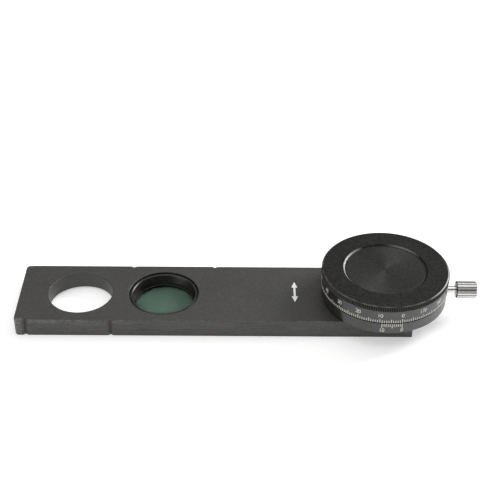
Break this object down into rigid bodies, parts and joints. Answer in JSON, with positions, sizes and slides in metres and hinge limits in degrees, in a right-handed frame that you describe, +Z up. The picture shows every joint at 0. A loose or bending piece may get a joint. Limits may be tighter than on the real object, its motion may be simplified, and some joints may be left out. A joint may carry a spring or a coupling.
{
  "type": "microscope analyzer slider",
  "caption": "Flat slider bar with an empty aperture and a geared turning polarizer cell, driven by a knurled dial with scale, vernier and lock screw.",
  "frame": {"origin": "on the dial's axis, at the underside of the bar", "axes": "+X along the bar towards the lock screw, +Y across the bar away from the vernier, +Z up along the dial's axis"},
  "size_m": [0.1535, 0.0424, 0.0172],
  "materials": {
    "bar_anodised": "bead-blasted and black anodised, matt",
    "cover_anodised": "milled and black anodised, matt",
    "cell_anodised": "turned and black anodised, satin",
    "dial_anodised": "turned and black anodised, satin",
    "dial_turned": "face-turned and black anodised, satin with fine rings",
    "gear_brass": "machined",
    "ground_steel": "ground",
    "spring_steel": "rolled",
    "black_screw_steel": "blackened",
    "bright_steel": "bright nickel plate",
    "bearing_acetal": "turned black acetal",
    "clear_glass": "polished",
    "polarizer_green": "grey-green polarizing film"
  },
  "bodies": {
    "slider": {"slider_bar": "bar_anodised", "bottom_cover": "cover_anodised", "cover_screws": "black_screw_steel", "idler_pins": "ground_steel", "cell_bearing_ring": "bearing_acetal", "index_base": "dial_anodised", "base_screws": "black_screw_steel", "spindle_bush": "gear_brass", "wave_washer": "spring_steel"},
    "dial": {"dial_wheel": "dial_anodised", "scale_ring": "dial_anodised", "dial_face_disc": "dial_turned", "dial_screw": "black_screw_steel", "spindle": "ground_steel", "dial_pinion": "gear_brass", "spindle_clip": "spring_steel"},
    "idler_1": {"idler_gear_1": "gear_brass"},
    "idler_2": {"idler_gear_2": "gear_brass"},
    "idler_3": {"idler_gear_3": "gear_brass"},
    "cell": {"analyzer_cell": "cell_anodised", "cell_ring_gear": "gear_brass", "lower_glass": "clear_glass", "polarizer_film": "polarizer_green", "upper_glass": "clear_glass", "glass_retainer": "cell_anodised"},
    "clamp": {"clamp_pad": "gear_brass"},
    "lock_screw": {"lock_screw": "bright_steel"}
  },
  "joints": [
    {"name": "dial_turn", "type": "hinge", "parent": "slider", "child": "dial", "pos_m": [0, 0, 0], "axis": [0, 0, 1], "continuous": true},
    {"name": "idler_1_turn", "type": "hinge", "parent": "slider", "child": "idler_1", "pos_m": [-0.01525, 0, 0], "axis": [0, 0, 1], "continuous": true},
    {"name": "idler_2_turn", "type": "hinge", "parent": "slider", "child": "idler_2", "pos_m": [-0.034, 0, 0], "axis": [0, 0, 1], "continuous": true},
    {"name": "idler_3_turn", "type": "hinge", "parent": "slider", "child": "idler_3", "pos_m": [-0.05275, 0, 0], "axis": [0, 0, 1], "continuous": true},
    {"name": "cell_turn", "type": "hinge", "parent": "slider", "child": "cell", "pos_m": [-0.074, 0, 0], "axis": [0, 0, 1], "continuous": true},
    {"name": "lock_turn", "type": "hinge", "parent": "clamp", "child": "lock_screw", "pos_m": [0, 0, 0.0086], "axis": [1, 0, 0], "range_deg": [0, 721]},
    {"name": "lock_travel", "type": "slide", "parent": "slider", "child": "clamp", "axis": [1, 0, 0], "range_m": [0, 0.0009]}
  ],
  "couplings": [
    {"joint": "idler_1_turn", "follows": "dial_turn", "ratio": -0.64865},
    {"joint": "idler_2_turn", "follows": "dial_turn", "ratio": 0.63158},
    {"joint": "idler_3_turn", "follows": "dial_turn", "ratio": -0.64865},
    {"joint": "cell_turn", "follows": "dial_turn", "ratio": 0.5},
    {"joint": "lock_turn", "follows": "lock_travel", "rad_per_m": 13963}
  ]
}
